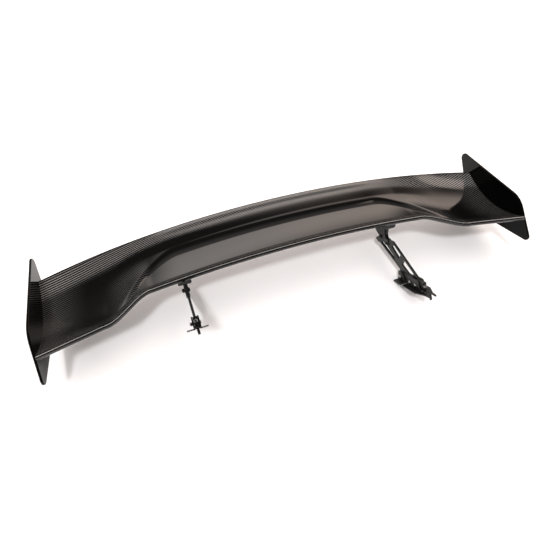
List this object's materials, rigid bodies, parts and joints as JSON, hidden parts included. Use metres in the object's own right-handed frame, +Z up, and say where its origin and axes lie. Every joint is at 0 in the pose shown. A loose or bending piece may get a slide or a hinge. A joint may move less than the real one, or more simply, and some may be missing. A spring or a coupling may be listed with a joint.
{
  "type": "racing rear wing",
  "caption": "Full-width carbon rear wing with a stepped leading edge, dished centre, flat endplates and swinging truss pedestals with bolted clamp feet.",
  "frame": {"origin": "middle of the base of the bounding box, with the pedestals swung as stored", "axes": "+X along the span towards the right end, +Y from the leading edge to the trailing edge, +Z up"},
  "size_m": [1.5702, 0.5352, 0.2187],
  "materials": {
    "carbon_skin": "twill carbon laminate under gloss clear coat",
    "carbon_spar": "uncoated laminate",
    "foam_rib": "closed-cell core, matte",
    "hard_point": "dense core, matte",
    "pad_rubber": "matte",
    "endplate_gloss": "gloss black over laminate",
    "black_aluminium": "black anodised, satin",
    "bracket_black": "black anodised, satin",
    "black_steel": "black oxide",
    "bright_steel": "zinc plated, bright",
    "grey_steel": "satin grey"
  },
  "bodies": {
    "wing": {"bracket_screw_left_1": "black_steel", "bracket_screw_left_2": "black_steel", "bracket_screw_left_3": "black_steel", "bracket_screw_left_4": "black_steel", "bracket_screw_right_1": "black_steel", "bracket_screw_right_2": "black_steel", "bracket_screw_right_3": "black_steel", "bracket_screw_right_4": "black_steel", "end_rib_left": "foam_rib", "end_rib_right": "foam_rib", "endplate_left": "endplate_gloss", "endplate_right": "endplate_gloss", "endplate_screw_left_1": "black_steel", "endplate_screw_left_2": "black_steel", "endplate_screw_left_3": "black_steel", "endplate_screw_right_1": "black_steel", "endplate_screw_right_2": "black_steel", "endplate_screw_right_3": "black_steel", "mount_rib_left": "hard_point", "mount_rib_right": "hard_point", "spar_front": "carbon_spar", "spar_rear": "carbon_spar", "wing_bracket_left": "black_aluminium", "wing_bracket_right": "black_aluminium", "wing_lower_skin": "carbon_skin", "wing_pad_left": "pad_rubber", "wing_pad_right": "pad_rubber", "wing_upper_skin": "carbon_skin"},
    "pedestal_left": {"foot_bolt_left_1": "bright_steel", "foot_bolt_left_2": "bright_steel", "foot_bolt_left_3": "bright_steel", "foot_bracket_main_inner_left": "bracket_black", "foot_bracket_main_outer_left": "bracket_black", "foot_bracket_rear_inner_left": "bracket_black", "foot_bracket_rear_outer_left": "bracket_black", "lock_bolt_left": "black_steel", "lock_nut_left": "black_steel", "pedestal_arm_left": "black_aluminium", "pivot_bolt_left": "black_steel", "pivot_nut_left": "black_steel", "toe_clamp_left": "bracket_black", "toe_screw_left": "grey_steel"},
    "pedestal_right": {"foot_bolt_right_1": "bright_steel", "foot_bolt_right_2": "bright_steel", "foot_bolt_right_3": "bright_steel", "foot_bracket_main_inner_right": "bracket_black", "foot_bracket_main_outer_right": "bracket_black", "foot_bracket_rear_inner_right": "bracket_black", "foot_bracket_rear_outer_right": "bracket_black", "lock_bolt_right": "black_steel", "lock_nut_right": "black_steel", "pedestal_arm_right": "black_aluminium", "pivot_bolt_right": "black_steel", "pivot_nut_right": "black_steel", "toe_clamp_right": "bracket_black", "toe_screw_right": "grey_steel"}
  },
  "joints": [
    {"name": "pedestal_left_swing", "type": "hinge", "parent": "wing", "child": "pedestal_left", "pos_m": [-0.354, 0.04557, 0.07169], "axis": [1, 0, 0], "range_deg": [-4, 52]},
    {"name": "pedestal_right_swing", "type": "hinge", "parent": "wing", "child": "pedestal_right", "pos_m": [0.354, 0.04557, 0.07169], "axis": [1, 0, 0], "range_deg": [-30, 26]}
  ]
}
